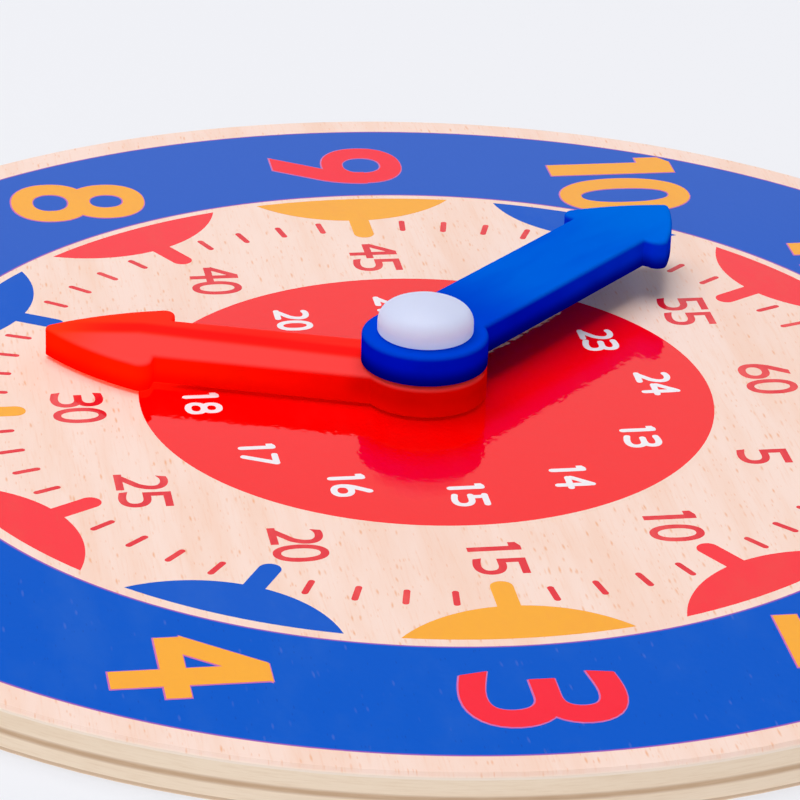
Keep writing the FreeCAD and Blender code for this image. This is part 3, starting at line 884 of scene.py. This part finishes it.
def ribbon(points, width, cuts, box, round_ends):
    """Outline of a stroke of even width along its points."""
    sides = ([], [])
    last_index = len(points) - 1
    for index, point in enumerate(points):
        first = heading(points[max(index - 1, 0)], points[max(index, 1)])
        last = heading(points[min(index, last_index - 1)], points[min(index + 1, last_index)])
        travel = heading((0.0, 0.0), (first[0] + last[0], first[1] + last[1]))
        reach = width / 2 / max(travel[0] * last[0] + travel[1] * last[1], 0.5)
        cut = cuts[0] if index == 0 else cuts[1] if index == last_index else None
        for side, sign in zip(sides, (1, -1)):
            x = point[0] - sign * reach * travel[1]
            y = point[1] + sign * reach * travel[0]
            side.append((x, y) if round_ends else cut_point(x, y, point, cut, travel, box))
        if index == 0:
            start = travel
    for side in sides:
        while len(side) > 2 and leads_back(side[0], side[1], start):
            del side[1]
        while len(side) > 2 and leads_back(side[-2], side[-1], travel):
            del side[-2]
    if round_ends:
        return (sides[0] + half_circle(points[-1], sides[0][-1]) + sides[1][::-1]
                + half_circle(points[0], sides[1][0]))
    return sides[0] + sides[1][::-1]


def oval(middle_x, middle_y, radius_x, radius_y):
    """A slightly squared oval, as a loop of points."""
    loop = []
    for step in range(OVAL_STEPS):
        turn = 2 * math.pi * step / OVAL_STEPS
        across, up = math.cos(turn), math.sin(turn)
        loop.append(
            (middle_x + radius_x * math.copysign(abs(across) ** (2 / OVAL_POWER), across),
             middle_y + radius_y * math.copysign(abs(up) ** (2 / OVAL_POWER), up)))
    return loop


def figure_outlines(figure, style, grow):
    """Outlines of one figure and its width. Each is an outer loop and its hole, or None.

    The strokes are drawn with even width in a box that is taller than the figure, and
    pressed flat with it, which makes level strokes thinner than upright ones.
    """
    tall = style.height / style.contrast
    stroke = style.stroke
    stem = stroke * style.stem
    width = WIDTHS[figure] * style.height * style.stretch
    span_x, span_y = width - stroke, tall - stroke
    if figure == "1":
        width = max(width, stem * ONE_WIDTH)
        span_x = width - stem / 2 - stroke / 2
    half_x, half_y = stroke / 2 / span_x, stroke / 2 / span_y
    box = (-grow, tall + grow, width + grow, -grow)
    shapes = []
    for item in strokes_of(figure, half_x, half_y):
        if item["kind"] == "oval":
            middle_x, middle_y, radius_x, radius_y = item["at"]
            place = (stroke / 2 + middle_x * span_x, stroke / 2 + middle_y * span_y)
            reach = stroke / 2 + grow
            shapes.append((oval(*place, radius_x * span_x + reach, radius_y * span_y + reach),
                           oval(*place, radius_x * span_x - reach, radius_y * span_y - reach)))
        elif item["kind"] == "flag":
            drop = FLAG_DROP * tall
            low = tall - drop - FLAG_DEPTH * stroke / style.contrast - grow
            edge = width - stem / 2
            shapes.append(([(-grow, low), (edge, low), (edge, tall + grow),
                            (edge - stem / 2, tall + grow), (-grow, tall - drop + grow)], None))
        else:
            points = [(stroke / 2 + x * span_x, stroke / 2 + y * span_y)
                      for x, y in along(item["start"], item["legs"])]
            loop = ribbon(points, stroke * item["weight"] + 2 * grow, item["cuts"], box,
                          style.round_ends)
            shapes.append((loop, None))
    rise = OVERSHOOT if figure in "03689" else 1.0
    middle = style.height / 2
    return [tuple(loop and [(x, middle + (y * style.contrast - middle) * rise) for x, y in loop]
                  for loop in shape) for shape in shapes], width


def moved(shapes, right, up):
    """The same outlines elsewhere."""
    return [tuple(loop and [(x + right, y + up) for x, y in loop] for loop in shape)
            for shape in shapes]


def numeral_outlines(text, style, centre, grow=0.0):
    """Outlines of a numeral about a point of the dial."""
    shapes, pen = [], 0.0
    for index, figure in enumerate(text):
        if index:
            space = AFTER.get(text[index - 1], 0.0) + BEFORE.get(figure, 0.0)
            pen += style.gap + style.unit * space
        drawn, width = figure_outlines(figure, style, grow)
        shapes.extend(moved(drawn, pen, 0.0))
        pen += width
    return moved(shapes, centre[0] - pen / 2, centre[1] - style.height / 2)


def numerals_object(name, places, style, layer, material, sizes, grow=0.0, shift=(0.0, 0.0)):
    """All numerals of one ink as a single piece. places gives each text its centre."""
    mesh = bmesh.new()
    for text, (x, y) in places.items():
        sheet = bmesh.new()
        union_sheet(sheet, numeral_outlines(text, style, (x + shift[0], y + shift[1]), grow))
        data = bpy.data.meshes.new("sheet")
        sheet.to_mesh(data)
        sheet.free()
        mesh.from_mesh(data)
        bpy.data.meshes.remove(data)
    ink_object(name, mesh, layer, material, sizes)


# Centres of the numerals about the middle of the print, in millimetres.
RED_HOURS = {"12": (0.2, 61.6), "3": (61.98, -0.05), "6": (0.1, -61.4), "9": (-61.07, -0.15)}
YELLOW_HOURS = {
    "1": (30.9, 53.3), "2": (54.3, 30.7), "4": (53.45, -30.3), "5": (31.6, -53.05),
    "7": (-31.2, -52.8), "8": (-52.98, -30.41), "10": (-52.8, 31.1), "11": (-30.8, 53.3),
}
MINUTES = {
    "60": (-0.46, 35.48), "5": (17.11, 30.71), "10": (31.09, 18.53), "15": (35.89, 0.66),
    "20": (31.22, -17.41), "25": (18.63, -30.61), "30": (-0.25, -35.12), "35": (-17.9, -30.7),
    "40": (-30.10, -17.82), "45": (-34.87, 0.15), "50": (-30.7, 17.9), "55": (-17.82, 30.81),
}
DAY_HOURS = {
    "24": (-0.36, 23.71), "13": (11.73, 19.54), "14": (19.95, 10.81), "15": (22.69, 0.25),
    "16": (19.54, -10.91), "17": (12.03, -18.63), "18": (0.05, -22.73), "19": (-11.3, -19.6),
    "20": (-19.24, -10.91), "21": (-22.5, 0.1), "22": (-19.5, 11.1), "23": (-11.42, 20.05),
}


# ---------------------------------------------------------------- operators


RING_STEPS = 288
DISC_STEPS = 192


class CLOCK_OT_plies(bpy.types.Operator):
    """Finish the five plies of the board"""
    bl_idname = "clock.plies"
    bl_label = "Plies"

    def execute(self, context):
        woods = context.scene.clock_woods
        low, high = (corner.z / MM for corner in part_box("core_ply"))
        fade = (woods.crossband, (low + high) / 2, (high - low) / 2)
        crossband = cut_ply("pale_crossband", woods.crossband, woods, streak=0.35)
        paint("face_veneer", lacquered_wood(woods))
        paint("upper_crossband", crossband)
        paint("core_ply", cut_ply("brown_core", woods.core, woods, streak=0.3, fade=fade))
        paint("lower_crossband", crossband)
        paint("back_veneer", bare_back(woods))
        return {"FINISHED"}


class CLOCK_OT_ring_and_disc(bpy.types.Operator):
    """Print the blue ring and the red disc"""
    bl_idname = "clock.ring_and_disc"
    bl_label = "Ring and disc"

    def execute(self, context):
        sizes, inks = context.scene.clock_print, context.scene.clock_inks
        band("blue_ring", sizes.ring_inner / MM, sizes.ring_outer / MM, ring_ink(sizes, inks),
             sizes, shift=sizes.ring_shift / MM, steps=RING_STEPS)
        red = flat_ink("disc_red_ink", inks, inks.disc, inks.disc_thin, inks.mirror_disc)
        band("red_disc", sizes.hole_radius / MM, sizes.disc_radius / MM, red, sizes,
             steps=DISC_STEPS)
        return {"FINISHED"}


class CLOCK_OT_minute_ticks(bpy.types.Operator):
    """Print the minute ticks between the five-minute markers"""
    bl_idname = "clock.minute_ticks"
    bl_label = "Minute ticks"

    def execute(self, context):
        sizes, inks = context.scene.clock_print, context.scene.clock_inks
        half_width = sizes.tick_width / MM / 2
        half_length = sizes.tick_length / MM / 2 - half_width
        middle = sizes.tick_radius / MM
        mesh = bmesh.new()
        pen = Pen(mesh, -half_width, middle - half_length)
        pen.arc(middle - half_length, 180.0, steps=6)
        pen.line(half_width, middle + half_length)
        pen.arc(middle + half_length, 180.0, steps=6)
        pen.fill()
        turned_copies(mesh, [minute for minute in range(60) if minute % 5])
        ink = flat_ink("tick_red_ink", inks, inks.figure, inks.figure_thin, spread=0.9)
        ink_object("minute_ticks", mesh, 1, ink, sizes)
        return {"FINISHED"}


class CLOCK_OT_markers(bpy.types.Operator):
    """Print the five-minute markers: a stem that opens into a lens"""
    bl_idname = "clock.markers"
    bl_label = "Five-minute markers"

    def execute(self, context):
        sizes, inks = context.scene.clock_print, context.scene.clock_inks
        groups = {
            "yellow": (0, flat_ink("marker_yellow_ink", inks, inks.yellow, inks.yellow_thin)),
            "red": (10, flat_ink("marker_red_ink", inks, inks.marker, inks.marker_thin)),
            "blue": (5, flat_ink("marker_blue_ink", inks, inks.blue, inks.blue_thin,
                                 inks.mirror_blue, spread=0.9)),
        }
        for name, (first, ink) in groups.items():
            mesh = bmesh.new()
            self.draw_marker(mesh, sizes)
            turned_copies(mesh, range(first, 60, 15))
            ink_object(name + "_markers", mesh, 1, ink, sizes)
        return {"FINISHED"}

    def draw_marker(self, mesh, sizes):
        """One marker at twelve o'clock."""
        half = sizes.stem_width / MM / 2
        foot = sizes.stem_inner / MM + half
        centre, inner = sizes.lens_centre / MM, sizes.lens_radius / MM
        outer = sizes.lens_outer / MM
        shoulder = centre - math.sqrt(inner ** 2 - half ** 2)
        tip_y = (outer ** 2 - inner ** 2 + centre ** 2) / (2 * centre)
        tip_x = math.sqrt(outer ** 2 - tip_y ** 2)
        sweep = math.degrees(math.asin(tip_x / inner) - math.asin(half / inner))
        crown = 2 * math.degrees(math.asin(tip_x / outer))
        pen = Pen(mesh, -half, foot)
        pen.arc(foot, 180.0, steps=12)
        pen.line(half, shoulder)
        pen.arc(centre, sweep, steps=14)
        pen.arc(0.0, crown, steps=16)
        pen.arc(centre, sweep, steps=14)
        pen.fill()


class CLOCK_OT_hour_numerals(bpy.types.Operator):
    """Print the twelve hour numerals and the underprint that shows around them"""
    bl_idname = "clock.hour_numerals"
    bl_label = "Hour numerals"

    def execute(self, context):
        sizes, inks = context.scene.clock_print, context.scene.clock_inks
        halo = sizes.halo / MM
        shift = (sizes.halo_x / MM, sizes.halo_y / MM)
        under = flat_ink("underprint_ink", inks, inks.violet, inks.violet_thin)
        red = flat_ink("numeral_red_ink", inks, inks.crimson, inks.crimson_thin,
                       inks.mirror_crimson)
        yellow = flat_ink("numeral_yellow_ink", inks, inks.yellow, inks.yellow_thin)
        numerals_object("red_underprint", RED_HOURS, HOUR_STYLE, 2, under, sizes, halo, shift)
        numerals_object("yellow_underprint", YELLOW_HOURS, HOUR_STYLE, 2, under, sizes, halo, shift)
        numerals_object("red_hours", RED_HOURS, HOUR_STYLE, 3, red, sizes)
        numerals_object("yellow_hours", YELLOW_HOURS, HOUR_STYLE, 3, yellow, sizes)
        return {"FINISHED"}


class CLOCK_OT_minute_numerals(bpy.types.Operator):
    """Print the minute numerals"""
    bl_idname = "clock.minute_numerals"
    bl_label = "Minute numerals"

    def execute(self, context):
        sizes, inks = context.scene.clock_print, context.scene.clock_inks
        ink = flat_ink("minute_red_ink", inks, inks.figure, inks.figure_thin, spread=0.9)
        numerals_object("minute_numerals", MINUTES, MINUTE_STYLE, 1, ink, sizes)
        return {"FINISHED"}


class CLOCK_OT_day_numerals(bpy.types.Operator):
    """Print the numerals from 13 to 24 on the red disc"""
    bl_idname = "clock.day_numerals"
    bl_label = "24-hour numerals"

    def execute(self, context):
        sizes, inks = context.scene.clock_print, context.scene.clock_inks
        ink = flat_ink("day_white_ink", inks, inks.white, inks.white_thin)
        numerals_object("day_numerals", DAY_HOURS, DAY_STYLE, 2, ink, sizes)
        return {"FINISHED"}


class CLOCK_OT_hands(bpy.types.Operator):
    """Finish the two plastic hands"""
    bl_idname = "clock.hands"
    bl_label = "Hands"

    def execute(self, context):
        scene = context.scene
        paint("hour_hand", moulded("red_plastic", "hour_hand", scene.clock_hour_hand))
        paint("minute_hand", moulded("blue_plastic", "minute_hand", scene.clock_minute_hand))
        return {"FINISHED"}


class CLOCK_OT_rivet(bpy.types.Operator):
    """Finish both halves of the snap rivet"""
    bl_idname = "clock.rivet"
    bl_label = "Rivet"

    def execute(self, context):
        white = milky(context.scene.clock_rivet)
        paint("rivet_cap", white)
        paint("rivet_post", white)
        return {"FINISHED"}


# Where each softbox stands and how wide it is, in metres.
OVERHEAD = ((-0.10, -0.15, 1.0), 0.9)
BESIDE = ((0.95, -0.35, 0.40), 0.5)
FLOOR_GLOW = 0.8   # share of its own colour that the floor shows without any light
HORIZON = 0.05     # how far above and below the horizon sky and table run into each other
NEAREST = 1 / 40   # where the camera's sight begins, as a share of its distance
FARTHEST = 10      # where it ends, in radii of the floor


class CLOCK_OT_stage(bpy.types.Operator):
    """Set the floor, the light and the camera"""
    bl_idname = "clock.stage"
    bl_label = "Stage"

    def execute(self, context):
        stage = context.scene.clock_stage
        self.make_floor(stage)
        self.make_world(stage)
        self.make_softbox("softbox", stage.lamp_power, *OVERHEAD)
        self.make_softbox("fill", stage.fill_power, *BESIDE)
        self.make_camera(stage)
        context.scene.view_settings.view_transform = "Standard"
        return {"FINISHED"}

    def make_floor(self, stage):
        """A pale floor that shows its own colour, takes the shadow and hides nothing from below."""
        mesh = bmesh.new()
        bmesh.ops.create_circle(mesh, cap_ends=True, segments=96, radius=stage.floor_radius)
        bmesh.ops.translate(mesh, verts=mesh.verts[:], vec=(0.0, 0.0, -stage.floor_drop))
        shader = Shader("pale_floor")
        matt = shader.node("ShaderNodeBsdfDiffuse", {}, {"Color": stage.background})
        lit = shader.node("ShaderNodeEmission", {}, {"Color": stage.background})
        clear = shader.node("ShaderNodeBsdfTransparent", {}, {})
        seen, mirrored, scattered = shader.node(
            "ShaderNodeLightPath", {}, {},
            output=("Is Camera Ray", "Is Glossy Ray", "Is Diffuse Ray"))
        behind = shader.node("ShaderNodeNewGeometry", {}, {}, output="Backfacing")
        plain = shader.mix(seen.largest(mirrored) * FLOOR_GLOW, matt, lit)
        shown = shader.mix(behind.largest(scattered), plain, clear)
        shader.node("ShaderNodeOutputMaterial", {}, {"Surface": shown})
        floor = mesh_object("floor", mesh, shader.block)

    def make_world(self, stage):
        """Dim sky over a bright table, and the plain backdrop where it is seen or mirrored."""
        shader = Shader("studio", "worlds")
        towards = shader.node("ShaderNodeTexCoord", {}, {}, output="Generated")
        up = shader.step(shader.axes(towards)[2], -HORIZON, HORIZON)
        level = up * (stage.sky_level - stage.table_level) + stage.table_level
        light = shader.node("ShaderNodeBackground", {}, {"Color": stage.skylight,
                                                         "Strength": level})
        backdrop = shader.node("ShaderNodeBackground", {}, {"Color": stage.background})
        seen, mirrored, through = shader.node(
            "ShaderNodeLightPath", {}, {},
            output=("Is Camera Ray", "Is Glossy Ray", "Is Transmission Ray"))
        shown = shader.mix(seen.largest(mirrored).largest(through), light, backdrop)
        shader.node("ShaderNodeOutputWorld", {}, {"Surface": shown})
        bpy.context.scene.world = shader.block

    def make_softbox(self, name, watts, place, side):
        """A large square softbox that faces the clock."""
        lamp = bpy.data.lights.new(name, "AREA")
        lamp.size = side
        lamp.energy = watts
        holder = bpy.data.objects.new(name, lamp)
        bpy.context.scene.collection.objects.link(holder)
        turn = Vector(place).to_track_quat("Z", "Y")
        holder.matrix_world = Matrix.Translation(place) @ turn.to_matrix().to_4x4()

    def make_camera(self, stage):
        """A long lens that looks across the dial from beyond three o'clock."""
        data = bpy.data.cameras.new("camera")
        data.sensor_width = stage.sensor
        data.lens = stage.lens
        data.clip_start = stage.distance * NEAREST
        data.clip_end = stage.floor_radius * FARTHEST
        camera = bpy.data.objects.new("camera", data)
        bpy.context.scene.collection.objects.link(camera)
        bpy.context.scene.camera = camera
        azimuth, elevation = stage.azimuth, stage.elevation
        back = Vector((math.sin(azimuth) * math.cos(elevation),
                       -math.cos(azimuth) * math.cos(elevation), math.sin(elevation)))
        right = Vector((0.0, 0.0, 1.0)).cross(back).normalized()
        up = back.cross(right)
        spin = Matrix.Rotation(stage.roll, 3, back)
        target = Vector((stage.target_x, stage.target_y, DIAL_HEIGHT))
        turn = Matrix((spin @ right, spin @ up, back)).transposed()
        camera.matrix_world = Matrix.Translation(target + back * stage.distance) @ turn.to_4x4()


class CLOCK_PT_pieces(bpy.types.Panel):
    """Lists the pieces of the clock"""
    bl_idname = "CLOCK_PT_pieces"
    bl_label = "Teaching clock"
    bl_space_type = "VIEW_3D"
    bl_region_type = "UI"
    bl_category = "Clock"

    def draw(self, context):
        for operator in OPERATORS:
            self.layout.operator(operator.bl_idname)
        for name in GROUPS:
            group = getattr(context.scene, name)
            box = self.layout.box()
            for key in group.bl_rna.properties.keys():
                if key not in ("rna_type", "name"):
                    box.prop(group, key)


GROUPS = {
    "clock_print": ClockPrintSizes,
    "clock_inks": ClockInks,
    "clock_woods": ClockWoods,
    "clock_hour_hand": ClockHourHand,
    "clock_minute_hand": ClockMinuteHand,
    "clock_rivet": ClockRivet,
    "clock_stage": ClockStage,
}
OPERATORS = (
    CLOCK_OT_plies,
    CLOCK_OT_ring_and_disc,
    CLOCK_OT_minute_ticks,
    CLOCK_OT_markers,
    CLOCK_OT_hour_numerals,
    CLOCK_OT_minute_numerals,
    CLOCK_OT_day_numerals,
    CLOCK_OT_hands,
    CLOCK_OT_rivet,
    CLOCK_OT_stage,
)
CLASSES = (*GROUPS.values(), *OPERATORS, CLOCK_PT_pieces)


def register():
    for item in CLASSES:
        bpy.utils.register_class(item)
    for name, group in GROUPS.items():
        setattr(bpy.types.Scene, name, PointerProperty(type=group))


def unregister():
    for name in GROUPS:
        delattr(bpy.types.Scene, name)
    for item in reversed(CLASSES):
        bpy.utils.unregister_class(item)


def main():
    """Make every piece in order."""
    register()
    bpy.ops.clock.plies()
    bpy.ops.clock.ring_and_disc()
    bpy.ops.clock.minute_ticks()
    bpy.ops.clock.markers()
    bpy.ops.clock.hour_numerals()
    bpy.ops.clock.minute_numerals()
    bpy.ops.clock.day_numerals()
    bpy.ops.clock.hands()
    bpy.ops.clock.rivet()
    bpy.ops.clock.stage()


if __name__ == "__main__":
    main()
